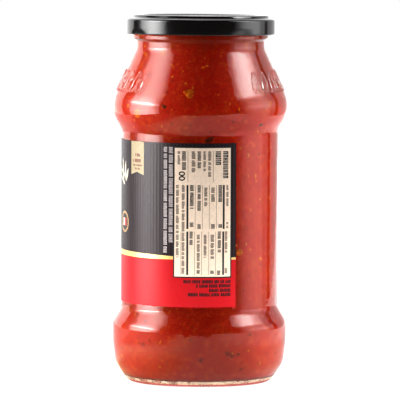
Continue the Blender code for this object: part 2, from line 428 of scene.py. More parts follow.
def pale_floor():
    """A white tabletop that the camera sees evenly white, as an overexposed one. Its glow also lights the jar
    like a lamp and paints the light and shade that the glass mirrors.
    """
    material, bench, place = new_material("pale_floor")
    mottle = bench.noise(place, 12, 2)
    x, y, _ = bench.apart(place)
    # What the glass sees of the tabletop is painted: darker at the left front, brighter at the right, a
    # brighter
    # patch tinted by the jar's own light at the front left, and a painted shadow round the foot.
    left_side = bench.smooth(x, -0.1, -0.2) * bench.smooth(y, 0.12, 0.02)
    right_side = bench.smooth(x, 0.1, 0.2)
    radius = bench.math("SQRT", x * x + y * y)
    foot_shade = bench.smooth(x, -0.005, -0.03) * bench.smooth(radius, 0.1, 0.065)
    foot_shade = foot_shade * bench.smooth(y, 0.04, 0.01)
    near_left = bench.smooth(x, 0.0, -0.05) * bench.smooth(y, 0.08, 0.01)
    glow = bench.mix(near_left, (FLOOR_GLOW,) * 3, FLOOR_GLOW_NEAR)
    glow = bench.mix(left_side, glow, (FLOOR_GLOW_LEFT,) * 3)
    glow = bench.mix(foot_shade, glow, FLOOR_GLOW_FOOT)
    mirrored = bench.mix(right_side, glow, (FLOOR_GLOW_RIGHT,) * 3)
    rays = bench.node("ShaderNodeLightPath", out=None).outputs
    camera_ray, glossy_ray, through_ray = (
        Wire(bench, rays["Is " + kind + " Ray"]) for kind in ("Camera", "Glossy", "Transmission")
    )
    seen_in_glass = bench.clamped(glossy_ray + through_ray)
    # Near the jar the glow is stronger, a painted light that lights the jar from below.
    light = bench.mix(bench.smooth(radius, 0.08, 0.17), (FLOOR_LIGHT_NEAR,) * 3, (FLOOR_LIGHT,) * 3)
    glow = bench.mix(seen_in_glass, light, mirrored)
    glow = bench.mix(camera_ray, glow, (1.0, 1.0, 1.0))
    inputs = {
        "Base Color": bench.mix(mottle, (0.05, 0.05, 0.05), (0.07, 0.07, 0.07)),
        "Roughness": bench.smooth(mottle, 0.3, 0.7, 0.6, 0.7),
        "Specular IOR Level": 0.1,
        "Emission Color": glow,
        "Emission Strength": 1.0,
    }
    return finished(material, bench, inputs)


# The most that a rounded corner's straight steps may leave its arc
CHORD_ERROR = 0.0065


def fillet_arc(before, corner, after, fillet):
    """Points along the arc that rounds a corner between its two neighbours."""
    back = (before - corner).normalized()
    ahead = (after - corner).normalized()
    turn = math.pi - back.angle(ahead)
    centre = corner + (back + ahead).normalized() * fillet / math.cos(turn / 2)
    start = corner + back * fillet * math.tan(turn / 2) - centre
    side = Vector((-start.y, start.x))
    if side.dot(ahead) < side.dot(back):
        side = -side
    steps = max(2, math.ceil(turn / (2 * math.acos(1 - CHORD_ERROR / fillet))))
    angles = [turn * step / steps for step in range(steps + 1)]
    return [centre + start * math.cos(angle) + side * math.sin(angle) for angle in angles]


def rounded(corners):
    """An outline of (radius, height) points along corners of (radius, height, fillet)."""
    places = [Vector(corner[:2]) for corner in corners]
    points = [places[0]]
    for i in range(1, len(corners) - 1):
        fillet = corners[i][2]
        if fillet > 0:
            points += fillet_arc(places[i - 1], places[i], places[i + 1], fillet)
        else:
            points.append(places[i])
    return points + [places[-1]]


def divided(points, low, high, longest):
    """The outline with its straight runs between two heights cut into pieces of at most a given length."""
    cut = [points[0]]
    for here, there in zip(points, points[1:]):
        inside = low <= min(here.y, there.y) and max(here.y, there.y) <= high
        pieces = max(1, math.ceil((there - here).length / longest)) if inside else 1
        cut += [here.lerp(there, k / pieces) for k in range(1, pieces + 1)]
    return cut


def glass_outside():
    """From the middle of the push-up out over the foot ring, and up the wall to the middle of the rim."""
    ring_inner = FOOT_RADIUS - 1.0 - FOOT_RING_WIDTH
    corners = [
        (0.0, PUSH_UP, 0.0),
        (PUSH_UP_RADIUS, PUSH_UP, 42.0),
        (ring_inner - 0.9, 0.9, 2.1),
        (ring_inner, 0.0, 0.4),
        (ring_inner + FOOT_RING_WIDTH, 0.0, 0.8),
        (FOOT_RADIUS + 0.5, 1.1, 2.1),
        (38.0, 3.6, 8.4),
        (SEAM_RADIUS, SEAM_HEIGHT, 9.0),
        (LOWER_BULGE_RADIUS, 19.4, LOWER_BULGE_FILLET),
        (LOWER_BULGE_RADIUS, LOWER_BULGE_TOP, LOWER_BULGE_FILLET / 4),
        (WAIST_RADIUS, WAIST_BOTTOM, WAIST_FILLET),
        (WAIST_RADIUS, WAIST_TOP, WAIST_FILLET),
        (SHOULDER_RADIUS, SHOULDER_BOTTOM, SHOULDER_FILLET),
        (SHOULDER_RADIUS, SHOULDER_TOP, SHOULDER_FILLET),
        (NECK_RADIUS, NECK_BOTTOM, NECK_FILLET),
        (NECK_RADIUS, 168.6, 0.5),
        (BEAD_RADIUS, 169.7, 0.6),
        (BEAD_RADIUS, BEAD_TOP, 0.6),
        (FINISH_RADIUS, BEAD_TOP + 0.9, 0.6),
        (FINISH_RADIUS, RIM_HEIGHT, 1.1),
        ((FINISH_RADIUS + BORE_RADIUS) / 2, RIM_HEIGHT, 0.0),
    ]
    return rounded(corners)


def glass_inside():
    """The cavity, from the middle of the rim down to the middle of its floor."""
    neck = NECK_RADIUS - WALL
    shoulder = SHOULDER_RADIUS - WALL
    waist = WAIST_RADIUS - WALL
    lower_bulge = LOWER_BULGE_RADIUS - WALL
    corners = [
        ((FINISH_RADIUS + BORE_RADIUS) / 2, RIM_HEIGHT, 0.0),
        (BORE_RADIUS, RIM_HEIGHT, 1.0),
        (neck, 171.2, 8.4),
        (neck, NECK_BOTTOM - 0.7, NECK_FILLET + WALL),
        (shoulder, SHOULDER_TOP - 0.6, SHOULDER_FILLET - WALL),
        (shoulder, SHOULDER_BOTTOM + 0.5, SHOULDER_FILLET - WALL),
        (waist, WAIST_TOP + 0.8, WAIST_FILLET + WALL),
        (waist, WAIST_BOTTOM - 0.8, WAIST_FILLET + WALL),
        (lower_bulge, LOWER_BULGE_TOP - 0.9, LOWER_BULGE_FILLET / 4),
        (lower_bulge, 14.7, 21.0),
        (FOOT_RADIUS + 1.2, 4.8, 4.2),
        (FLOOR_RADIUS, BASE_THICKNESS, 12.6),
        (FLOOR_RADIUS - PUSH_UP_RADIUS, BASE_THICKNESS + PUSH_UP, 42.0),
        (0.0, BASE_THICKNESS + PUSH_UP, 0.0),
    ]
    return rounded(corners)


def lid_outline():
    """From the middle of the panel over the ring, down the skirt, round the curl and back under the panel."""
    panel = LID_TOP - PANEL_DROP
    inner_panel = panel - LID_SHEET
    skirt = LID_RADIUS - LID_SHEET
    shoulder = LID_TOP - LID_SHOULDER_DROP
    corners = [
        (0.0, panel + 0.3, 0.0),
        (BUTTON_RADIUS, panel + 0.3, 3.2),
        (BUTTON_RADIUS + 1.3, panel, 3.2),
        (PANEL_RADIUS, panel, 3.0),
        (RING_INNER_RADIUS, LID_TOP, 1.5),
        (RING_OUTER_RADIUS, LID_TOP, 0.7),
        (RING_OUTER_RADIUS + 0.8, LID_TOP - LEDGE_DROP, 0.4),
        (LID_RADIUS - 0.6, shoulder, 0.4),
        (LID_RADIUS, shoulder - 0.6, 0.4),
        (LID_RADIUS, LID_BOTTOM, 0.6),
        (LID_RADIUS - CURL_DEPTH, LID_BOTTOM, 0.6),
        (LID_RADIUS - CURL_DEPTH, LID_BOTTOM + CURL_HEIGHT, 0.5),
        (skirt, LID_BOTTOM + CURL_HEIGHT + 0.3, 0.1),
        (skirt, shoulder - 0.7, 0.3),
        (skirt - 0.5, shoulder - LID_SHEET, 0.3),
        (RING_OUTER_RADIUS + 0.5, LID_TOP - LEDGE_DROP - LID_SHEET, 0.3),
        (RING_OUTER_RADIUS - 0.3, LID_TOP - LID_SHEET, 0.4),
        (RING_INNER_RADIUS + 0.1, LID_TOP - LID_SHEET, 0.6),
        (PANEL_RADIUS + 0.1, inner_panel, 2.0),
        (0.0, inner_panel, 0.0),
    ]
    return rounded(corners)


def moved_sideways(points, distance):
    """The outline moved to its left-hand side, seen along its run."""
    moved = []
    for i, here in enumerate(points):
        run = (points[min(i + 1, len(points) - 1)] - points[max(i - 1, 0)]).normalized()
        moved.append(here + distance * Vector((-run.y, run.x)))
    return moved


def sauce_outline():
    """From the middle of the surface to a little inside the glass wall, and down to the floor's middle."""
    wall = moved_sideways(glass_inside(), SAUCE_REACH)
    side = [point for point in wall if point.y < FILL_HEIGHT]
    top = [Vector((0.0, FILL_HEIGHT)), Vector((side[0].x, FILL_HEIGHT))]
    return top + side[:-1] + [Vector((0.0, side[-1].y))]


def counter_clockwise(points):
    """The outline in the order that turns its faces outwards."""
    doubled_area = sum(a.x * b.y - b.x * a.y for a, b in zip(points, points[1:] + points[:1]))
    return points if doubled_area > 0 else points[::-1]


def placed(name, data):
    """An object in the scene that shows a mesh, a lamp or a camera."""
    obj = bpy.data.objects.new(name, data)
    bpy.context.scene.collection.objects.link(obj)
    return obj


def outline_object(name, points):
    """An outline in millimetres as a chain of points in the XZ plane."""
    mesh = bpy.data.meshes.new(name)
    places = [(point.x * MM, 0.0, point.y * MM) for point in counter_clockwise(points)]
    mesh.from_pydata(places, [(i, i + 1) for i in range(len(places) - 1)], [])
    return placed(name, mesh)


def points_object(name, places, vectors):
    """Loose points in metres that carry vectors by name, such as their sizes."""
    mesh = bpy.data.meshes.new(name)
    mesh.from_pydata(places, [], [])
    for label, values in vectors.items():
        carried = mesh.attributes.new(label, "FLOAT_VECTOR", "POINT")
        for item, value in zip(carried.data, values):
            item.vector = value
    return placed(name, mesh)


# The kind of a tree's named input, by the type of the value that it is given
SOCKET_KINDS = {int: "Int", float: "Float", bpy.types.Material: "Material"}


def new_tree(name, values, shape):
    """A Geometry Nodes tree with a named input for each value, a shape made by a function of the bench and
    the input wires, and Realize Instances and Set Material at its end."""
    tree = bpy.data.node_groups.new(name, "GeometryNodeTree")
    kinds = {label: SOCKET_KINDS[type(value)] for label, value in values.items()}
    for label, kind in {"Geometry": "Geometry", **kinds}.items():
        tree.interface.new_socket(label, in_out="INPUT", socket_type="NodeSocket" + kind)
    tree.interface.new_socket("Geometry", in_out="OUTPUT", socket_type="NodeSocketGeometry")
    bench = Bench(tree)
    source = bench.node("NodeGroupInput", out=None)
    wires = {socket.name: Wire(bench, socket) for socket in source.outputs if socket.name}
    real = bench.node("GeometryNodeRealizeInstances", inputs={"Geometry": shape(bench, wires)})
    inputs = {"Geometry": real, "Material": wires["Material"]}
    inputs = {"Geometry": bench.node("GeometryNodeSetMaterial", inputs=inputs)}
    bench.node("NodeGroupOutput", inputs=inputs, out=None)
    return tree


# Points of a seam or a pole that are nearer than this become one, in metres
MERGE_DISTANCE = 1e-6


def turned(bench, wires):
    """The outline turned round the Z axis, as a grid that takes its rows from the outline's points."""
    outline, sides = wires["Geometry"], wires["Sides"]
    rows = bench.node(
        "GeometryNodeAttributeDomainSize", {"component": "MESH"}, {"Geometry": outline}, "Point Count"
    )
    grid = bench.node("GeometryNodeMeshGrid", inputs={"Vertices X": sides + 1, "Vertices Y": rows})
    index = bench.node("GeometryNodeInputIndex")
    sampled = bench.node(
        "GeometryNodeSampleIndex",
        {"data_type": "FLOAT_VECTOR"},
        {"Geometry": outline, "Value": bench.position(), "Index": index % rows},
    )
    radius, _, height = bench.apart(sampled)
    column = bench.math("FLOOR", index / rows)
    angle = column * math.tau / sides
    x = radius * bench.math("COSINE", angle)
    y = radius * bench.math("SINE", angle)
    wrapped = bench.moved(grid, Position=bench.together(x, y, height))
    inputs = {"Geometry": wrapped, "Distance": MERGE_DISTANCE}
    return bench.node("GeometryNodeMergeByDistance", inputs=inputs)


def moulded_jar(bench, wires):
    """The turned glass with a knurled foot ring and a slight unevenness."""
    jar = turned(bench, wires)
    place = bench.position()
    inward = bench.noise(place, 28, 1) * wires["Unevenness"]
    offset = bench.scaled(bench.node("GeometryNodeInputNormal"), 0.0 - inward)
    jar = bench.moved(jar, Offset=offset)
    x, y, z = bench.apart(place)
    angle = bench.math("ARCTAN2", y, x)
    wave = bench.math("COSINE", angle * wires["Knurl Count"]) * -0.5 + 0.5
    lift = wave * bench.smooth(z, wires["Knurl Top"], 0.0) * wires["Knurl Depth"]
    return bench.moved(jar, Offset=bench.together(0.0, 0.0, lift))


def pressed_lid(bench, wires):
    """The turned lid with its lugs pressed in at the lower edge."""
    lid = turned(bench, wires)
    x, y, z = bench.apart(bench.position())
    radius = bench.math("SQRT", x * x + y * y)
    angle = bench.math("ARCTAN2", x, 0.0 - y)
    pitch = math.tau / wires["Lug Count"]
    off = (angle - wires["First Lug"] + pitch / 2) % pitch - pitch / 2
    near = bench.clamped(1 - bench.math("ABSOLUTE", off) / wires["Lug Half Width"])
    low = bench.clamped(1 - (z - wires["Lower Edge"]) / wires["Lug Height"])
    dent = bench.smooth(near, 0.0, 1.0) * bench.smooth(low, 0.0, 1.0)
    dent = dent * (radius > wires["Inner Radius"]) * wires["Lug Dent"] / radius
    return bench.moved(lid, Offset=bench.together(0.0 - x * dent, 0.0 - y * dent, 0.0))


def on_waist(bench, geometry):
    """Bends a flat layout round the waist. Its x is the length along it, y the height, and z the lift."""
    x, y, z = bench.apart(bench.position())
    place = bench.around(z + LABEL_RADIUS * MM, x / (LABEL_RADIUS * MM), y)
    return bench.moved(geometry, Position=place)


def wrapped_sheet(bench, wires):
    return on_waist(bench, wires["Geometry"])


def printed_marks(bench, wires):
    """A small printed block on each point, with its own size, bent round the waist."""
    block = bench.node("GeometryNodeMeshCube", inputs={"Size": (1.0, 1.0, 1.0), "Vertices X": 4})
    width, length, _ = bench.apart(bench.attribute("mark_size"))
    size = bench.together(width, length, wires["Thickness"])
    return on_waist(bench, bench.on_points(wires["Geometry"], block, Scale=size))


def food_bits(bench, wires):
    """An uneven lump on each point, with its own size and turn."""
    ball = bench.node("GeometryNodeMeshIcoSphere", inputs={"Radius": 1.0, "Subdivisions": wires["Detail"]})
    turn = bench.rotation(bench.attribute("bit_turn"))
    bits = bench.on_points(wires["Geometry"], ball, Rotation=turn, Scale=bench.attribute("bit_size"))
    lump = bench.noise(bench.position(), wires["Lump Scale"], 2) - 0.5
    offset = bench.scaled(bench.node("GeometryNodeInputNormal"), lump * wires["Unevenness"])
    return bench.moved(bits, Offset=offset)


def grown_piece(name, source, shape, values, sharp_angle=None):
    """The finished piece that a shape's tree makes of an object, smooth except at edges over an angle.
    The object is used up."""
    tree = new_tree(name, values, shape)
    modifier = source.modifiers.new(name, "NODES")
    modifier.node_group = tree
    names = {item.name: item.identifier for item in tree.interface.items_tree if item.in_out == "INPUT"}
    for label, value in values.items():
        modifier[names[label]] = value
    graph = bpy.context.evaluated_depsgraph_get()
    mesh = bpy.data.meshes.new_from_object(source.evaluated_get(graph), depsgraph=graph)
    source.modifiers.remove(modifier)
    bpy.data.objects.remove(source, do_unlink=True)
    mesh.name = name
    if sharp_angle is not None:
        mesh.shade_smooth()
        mesh.set_sharp_from_angle(angle=math.radians(sharp_angle))
    return placed(name, mesh)


# Raised ovals on the shoulder, tall and short by turns, in two runs that leave the front and the back bare
OVAL_RUNS = ((-41.5, -1), (40.5, 1))
OVALS_IN_RUN = 24
OVAL_PITCH = 3.7
OVAL_FOOT = 144.0
OVAL_SIZES = ((3.3, 11.0), (3.2, 7.0))
OVAL_LEAN = 14.0
OVAL_RADIUS = 41.1
RIDGE_WIDTH = 0.9
RIDGE_SUNK = 0.12
SHOULDER_SLOPE = math.atan((SHOULDER_RADIUS - NECK_RADIUS) / (NECK_BOTTOM - SHOULDER_TOP))


def ridged_ovals(bench, wires):
    """A ridge with a flat underside along an oval round each point, bent onto the slope of the shoulder."""
    kind = "GeometryNodeCurvePrimitiveCircle"
    circle = bench.node(kind, inputs={"Resolution": 36, "Radius": 0.5})
    lean = bench.rotation(bench.together(0.0, 0.0, 0.0 - wires["Lean"]))
    size = bench.attribute("oval_size")
    ovals = bench.on_points(wires["Geometry"], circle, Rotation=lean, Scale=size)
    section = bench.node(kind, inputs={"Resolution": 10, "Radius": wires["Ridge Width"] / 2})
    ridges = bench.node("GeometryNodeCurveToMesh", inputs={"Curve": ovals, "Profile Curve": section})
    x, y, z = bench.apart(bench.position())
    lift = bench.math("MAXIMUM", z, 0.0 - wires["Sunk"])
    radius = OVAL_RADIUS * MM - y * math.sin(SHOULDER_SLOPE) + lift * math.cos(SHOULDER_SLOPE)
    height = OVAL_FOOT * MM + y * math.cos(SHOULDER_SLOPE) + lift * math.sin(SHOULDER_SLOPE)
    return bench.moved(ridges, Position=bench.around(radius, x / (OVAL_RADIUS * MM), height))


def make_ovals(glass):
    places, sizes = [], []
    for first, way in OVAL_RUNS:
        for i in range(OVALS_IN_RUN):
            across, tall = OVAL_SIZES[i % len(OVAL_SIZES)]
            along = math.radians(first) * OVAL_RADIUS + way * (i + 0.5) * OVAL_PITCH
            places.append((along * MM, tall / 2 * MM, 0.0))
            sizes.append(Vector((across, tall, 1.0)) * MM)
    values = {
        "Ridge Width": RIDGE_WIDTH * MM,
        "Sunk": RIDGE_SUNK * MM,
        "Lean": math.radians(OVAL_LEAN),
        "Material": glass,
    }
    source = points_object("oval_places", places, {"oval_size": sizes})
    return grown_piece("raised_ovals", source, ridged_ovals, values, 60)


# Sides and longest steps of the turned pieces, and the knurl under the foot ring
JAR_SIDES = 450
SAUCE_SIDES = 192
LID_SIDES = 360
SHOULDER_STEP = 4.0
LID_STEP = 0.5
KNURL_COUNT = 150
KNURL_DEPTH = 0.5
KNURL_TOP = 1.6
GLASS_UNEVENNESS = 0.05


def make_jar(glass):
    outline = glass_outside() + glass_inside()[1:]
    outline = divided(outline, SHOULDER_TOP, NECK_BOTTOM, SHOULDER_STEP)
    values = {
        "Sides": JAR_SIDES,
        "Knurl Count": KNURL_COUNT,
        "Knurl Depth": KNURL_DEPTH * MM,
        "Knurl Top": KNURL_TOP * MM,
        "Unevenness": GLASS_UNEVENNESS * MM,
        "Material": glass,
    }
    return grown_piece("jar_glass", outline_object("jar_outline", outline), moulded_jar, values, 60)


def make_sauce():
    values = {"Sides": SAUCE_SIDES, "Material": pulpy_sauce()}
    return grown_piece("sauce", outline_object("sauce_line", sauce_outline()), turned, values, 40)


def make_lid():
    values = {
        "Sides": LID_SIDES,
        "Lug Count": LUG_COUNT,
        "First Lug": math.radians(LUG_FIRST_ANGLE),
        "Lug Half Width": math.radians(LUG_HALF_WIDTH),
        "Lug Dent": LUG_DENT * MM,
        "Lug Height": LUG_HEIGHT * MM,
        "Lower Edge": LID_BOTTOM * MM,
        "Inner Radius": RING_OUTER_RADIUS * MM,
        "Material": black_enamel(),
    }
    outline = divided(lid_outline(), LID_BOTTOM, LID_TOP, LID_STEP)
    lid = grown_piece("lug_lid", outline_object("lid_line", outline), pressed_lid, values, 50)
    middle = Vector((0.0, 0.0, (LID_TOP + LID_BOTTOM) / 2 * MM))
    high_side = math.radians(LID_HIGH_SIDE)
    turn_axis = Vector((-math.cos(high_side), -math.sin(high_side), 0.0))
    turn = Matrix.Rotation(math.radians(LID_TILT), 4, turn_axis)
    lid.data.transform(Matrix.Translation(middle) @ turn @ Matrix.Translation(-middle))
    return lid


# How much longer and wider each bit is made than its listed size, and between which heights bits are strewn
BIT_SPREAD = 1.2
BITS_LOWEST = 9.0
BITS_HIGHEST = 168.0
# The part of the sauce's outline that is its upright side
SIDE_LOWEST = 8.0
SIDE_HIGHEST = 172.0


class Bits:
    """Bits of food that lie in the sauce against the glass, placed by angle and height."""

    def __init__(self, seed):
        self.draw = random.Random(seed)
        self.bits = []
        self.side = [point for point in sauce_outline() if SIDE_LOWEST < point.y < SIDE_HIGHEST]

    def add(self, angle, height, length, width, thickness, turn):
        size = Vector((length * BIT_SPREAD, width * BIT_SPREAD, thickness))
        self.bits.append((math.radians(angle), height, size, math.radians(turn)))

    def strew(self, count, smallest, largest, slimness):
        """Bits all round the jar, most of them small, where the label leaves the sauce in view."""
        while count > 0:
            angle = self.draw.uniform(-180.0, 180.0)
            height = self.draw.uniform(BITS_LOWEST, BITS_HIGHEST)
            beside_label = LABEL_RIGHT_ANGLE < angle < 360.0 + LABEL_LEFT_ANGLE
            if LABEL_BOTTOM < height < LABEL_TOP and not beside_label:
                continue
            length = smallest + (largest - smallest) * self.draw.random() ** 3
            width = length * self.draw.uniform(slimness, 1.0)
            self.add(angle, height, length, width, min(width, 0.5), self.draw.uniform(0.0, 180.0))
            count -= 1

    def place(self, angle, height):
        """The point on the sauce, and the directions along it, up it and out of it."""
        for upper, lower in zip(self.side, self.side[1:]):
            if lower.y <= height <= upper.y:
                break
        share = (height - lower.y) / max(upper.y - lower.y, 1e-6)
        radius = lower.x + (upper.x - lower.x) * share
        outward = Vector((math.sin(angle), -math.cos(angle), 0.0))
        along = Vector((math.cos(angle), math.sin(angle), 0.0))
        rise = (outward * (upper.x - lower.x) + Vector((0.0, 0.0, upper.y - lower.y))).normalized()
        return outward * radius + Vector((0.0, 0.0, height)), along, rise, along.cross(rise)

    def piece(self, name, material, detail, unevenness, lump_scale):
        places, sizes, turns = [], [], []
        for angle, height, size, turn in self.bits:
            point, along, rise, out = self.place(angle, height)
            places.append(point * MM)
            sizes.append(size * MM / 2)
            lie = Matrix((along, rise, out)).transposed() @ Matrix.Rotation(turn, 3, "Z")
            turns.append(Vector(lie.to_euler()))
        source = points_object(name, places, {"bit_size": sizes, "bit_turn": turns})
        values = {
            "Detail": detail,
            "Unevenness": unevenness * MM,
            "Lump Scale": lump_scale,
            "Material": material,
        }
        return grown_piece(name, source, food_bits, values, 80)


# Bits that show at the front: angle, height, length, width and turn
CHUNK_PARTS = [(-8.2, 144.6, 4.6, 2.2, 4.0), (-7.6, 143.4, 3.0, 3.2, 70.0), (-10.4, 144.4, 2.4, 1.6, -10.0)]
ORANGE_BITS = [
    (2.2, 156.3, 1.9, 1.1, 15.0), (-25.0, 157.4, 1.0, 0.8, 40.0), (-23.4, 156.5, 0.7, 0.6, 0.0),
    (-26.8, 142.5, 1.2, 0.9, 60.0), (20.6, 139.2, 1.2, 0.7, 80.0), (27.3, 136.6, 1.4, 0.7, 75.0),
    (55.0, 138.8, 2.4, 1.4, 80.0), (-57.8, 161.5, 1.6, 1.2, 70.0), (12.8, 143.3, 0.9, 0.6, 30.0),
    (-11.0, 148.7, 1.3, 0.9, 10.0), (-27.3, 22.5, 1.9, 0.7, 60.0), (-28.6, 10.2, 1.2, 0.8, 30.0),
    (-26.5, 13.6, 0.9, 0.7, 0.0), (-54.0, 17.0, 1.0, 0.7, 20.0), (39.2, 113.6, 1.6, 1.3, 80.0),
    (46.9, 103.2, 2.6, 0.8, 80.0), (47.6, 100.8, 1.4, 0.8, 10.0), (41.5, 86.6, 1.3, 1.1, 40.0),
    (41.5, 67.0, 1.4, 0.9, 70.0), (52.8, 62.3, 1.8, 1.3, 20.0),
]
GREEN_BITS = [
    (-25.3, 137.8, 2.2, 1.4, -15.0), (48.6, 129.0, 2.2, 1.5, 20.0), (7.1, 121.6, 3.6, 2.0, 10.0),
    (5.4, 120.9, 2.0, 1.2, -30.0), (9.0, 122.4, 1.6, 1.0, 40.0),
]
BROWN_BITS = [
    (-22.4, 149.8, 1.0, 0.9, 0.0), (-20.4, 129.6, 2.0, 1.2, 50.0), (24.0, 130.7, 1.6, 1.3, 0.0),
    (20.3, 17.2, 3.0, 2.2, 0.0), (23.0, 15.8, 1.8, 1.4, 30.0), (-41.5, 20.8, 1.9, 1.5, 30.0),
    (31.5, 9.4, 1.9, 1.4, 0.0), (-8.2, 34.4, 1.0, 0.8, 0.0), (62.0, 30.2, 1.3, 0.9, 30.0),
]


def make_bits():
    chunks, orange, green, seeds, brown = (Bits(seed) for seed in (51, 52, 53, 54, 55))
    for heap, listed, thickness in (
        (chunks, CHUNK_PARTS, 0.9),
        (orange, ORANGE_BITS, 0.5),
        (green, GREEN_BITS, 0.4),
        (brown, BROWN_BITS, 0.3),
    ):
        for angle, height, length, width, turn in listed:
            heap.add(angle, height, length, width, thickness, turn)
    chunks.strew(9, 2.0, 4.2, 0.5)
    orange.strew(300, 0.35, 1.3, 0.4)
    green.strew(26, 0.35, 1.6, 0.35)
    brown.strew(130, 0.4, 2.0, 0.35)
    seeds.strew(16, 1.2, 1.9, 0.6)
    orange_look = food_bit("pulp_orange", (1.0, 0.36, 0.004), (0.98, 0.2, 0.004))
    green_look = food_bit("herb_green", (0.16, 0.06, 0.008), (0.34, 0.05, 0.008))
    brown_look = food_bit("herb_brown", (0.5, 0.06, 0.008), (0.66, 0.05, 0.006))
    seed_look = food_bit("seed_pale", (1.0, 0.42, 0.03), (0.9, 0.28, 0.02))
    return [
        chunks.piece("pulp_chunks", orange_look, 4, 1.2, 520.0),
        orange.piece("pulp_flecks", orange_look, 2, 0.4, 1800.0),
        green.piece("herb_flecks", green_look, 2, 0.9, 1200.0),
        brown.piece("brown_flecks", brown_look, 2, 0.9, 1200.0),
        seeds.piece("seeds", seed_look, 2, 0.2, 900.0),
    ]


# Thickness of a layer of print
INK = 0.014


class FlatPrint:
    """Flat shapes in label lengths and heights, which become thin closed sheets bent round the waist."""

    def __init__(self):
        self.shape = bmesh.new()

    def patch(self, place, steps_along, steps_up=1):
        """A grid of faces whose points are place(u, v), for u and v from 0 to 1."""
        new_point = self.shape.verts.new
        rows = [
            [new_point((*place(i / steps_along, j / steps_up), 0.0)) for j in range(steps_up + 1)]
            for i in range(steps_along + 1)
        ]
        for before, after in zip(rows, rows[1:]):
            for j in range(steps_up):
                self.shape.faces.new((before[j], after[j], after[j + 1], before[j + 1]))

    def block(self, left, right, bottom, top, longest=1.6):
        """A field in steps of at most this length, so that it follows the waist."""
        steps = max(1, math.ceil((right - left) / longest))
        self.patch(lambda u, v: (left + u * (right - left), bottom + v * (top - bottom)), steps)

    def disc(self, x, y, across, up, steps=24):
        """A round or oval field."""

        def place(u, v):
            turn = math.pi * u
            return x - across * math.cos(turn), y + up * math.sin(turn) * (2 * v - 1)

        self.patch(place, steps, 2)

    def ring(self, x, y, across, up, width, steps=48):
        def place(u, v):
            turn = math.tau * u
            return x + (across - width * v) * math.cos(turn), y + (up - width * v) * math.sin(turn)

        self.patch(place, steps)

    def leaf(self, x, y, turn, length, width):
        """A pointed leaf from its root, turned by an angle in degrees."""
        ahead = Vector((math.cos(math.radians(turn)), math.sin(math.radians(turn))))
        aside = Vector((-ahead.y, ahead.x))

        def place(u, v):
            half = width / 2 * math.sin(math.pi * u) ** 0.8
            point = Vector((x, y)) + ahead * length * u + aside * half * (2 * v - 1)
            return point.x, point.y

        self.patch(place, 8, 2)

    def piece(self, name, material, lift=0.0, thickness=INK):
        """The finished piece, this thick and this far off the label."""
        shape = self.shape
        for vertex in shape.verts:
            vertex.co = Vector((vertex.co.x, vertex.co.y, lift + thickness)) * MM
        bmesh.ops.remove_doubles(shape, verts=shape.verts, dist=MERGE_DISTANCE)
        flat = shape.loops.layers.uv.new("label_flat")
        extruded = bmesh.ops.extrude_face_region(shape, geom=list(shape.faces), use_keep_orig=True)
        for element in extruded["geom"]:
            if isinstance(element, bmesh.types.BMVert):
                element.co.z = lift * MM
        bmesh.ops.recalc_face_normals(shape, faces=shape.faces)
        for face in shape.faces:
            for loop in face.loops:
                loop[flat].uv = (loop.vert.co.x, loop.vert.co.y)
        mesh = bpy.data.meshes.new(name)
        shape.to_mesh(mesh)
        shape.free()
        return grown_piece(name, placed(name, mesh), wrapped_sheet, {"Material": material}, 60)


# Gap between words, and how many letters a word may have
WORD_GAP = 0.6
LETTERS_IN_WORD = (3, 10)
# What a line's far edge loses at a letter, as shares of the line's height. Most letters lose nothing.
LETTER_TRIMS = (0.0, 0.0, 0.0, 0.0, 0.2)


class Marks:
    """Small printed blocks that stand for the words on the label, in label lengths and heights."""

    def __init__(self, seed):
        self.blocks = []
        self.draw = random.Random(seed)

    def block(self, left, right, bottom, top):
        self.blocks.append((left, right, bottom, top))

    def run(self, length, letter):
        """Starts and ends of letter-like blocks along a line, in words."""
        spans = []
        at = 0.0
        while at < length - letter / 2:
            for _ in range(self.draw.randint(*LETTERS_IN_WORD)):
                width = letter * self.draw.uniform(0.5, 0.95)
                if at + width > length:
                    break
                spans.append((at, at + width))
                at += width + letter * 0.2
            at += WORD_GAP
        return spans

    def line_down(self, left, right, top, bottom, letter):
        """A line that reads downwards, as on a label turned on its side."""
        for start, end in self.run(top - bottom, letter):
            trim = self.draw.choice(LETTER_TRIMS) * (right - left)
            self.block(left, right - trim, top - end, top - start)

    def strokes_down(self, left, right, top, bottom, letter):
        """A line that reads downwards, of pairs of strokes, most of them joined by a bar."""
        for start, end in self.run(top - bottom, letter):
            stroke = (end - start) * 0.4
            self.block(left, right, top - start - stroke, top - start)
            self.block(left, right, top - end, top - end + stroke)
            share = self.draw.choice((0.0, 0.39, 0.78, 0.78, None))
            if share is not None:
                bar = left + share * (right - left)
                self.block(bar, bar + 0.22 * (right - left), top - end + stroke, top - start - stroke)

    def line_across(self, left, right, bottom, top, letter=0.75):
        for start, end in self.run(right - left, letter):
            trim = self.draw.choice(LETTER_TRIMS) * (top - bottom)
            self.block(right - end, right - start, bottom, top - trim)

    def piece(self, name, material, thickness):
        middles = [((a + b) / 2 * MM, (c + d) / 2 * MM, thickness / 2 * MM) for a, b, c, d in self.blocks]
        sizes = [((b - a) * MM, (d - c) * MM, 0.0) for a, b, c, d in self.blocks]
        source = points_object(name, middles, {"mark_size": sizes})
        values = {"Thickness": thickness * MM, "Material": material}
        return grown_piece(name, source, printed_marks, values)


def make_label():
    sheet = FlatPrint()
    left = LABEL_LEFT_ANGLE * MM_PER_DEGREE
    right = LABEL_RIGHT_ANGLE * MM_PER_DEGREE
    sheet.block(left, right, LABEL_BOTTOM, LABEL_TOP, 0.8)
    thickness = LABEL_RADIUS - LABEL_INNER_RADIUS
    return sheet.piece("label_sheet", ribbed_label(), -thickness, thickness)


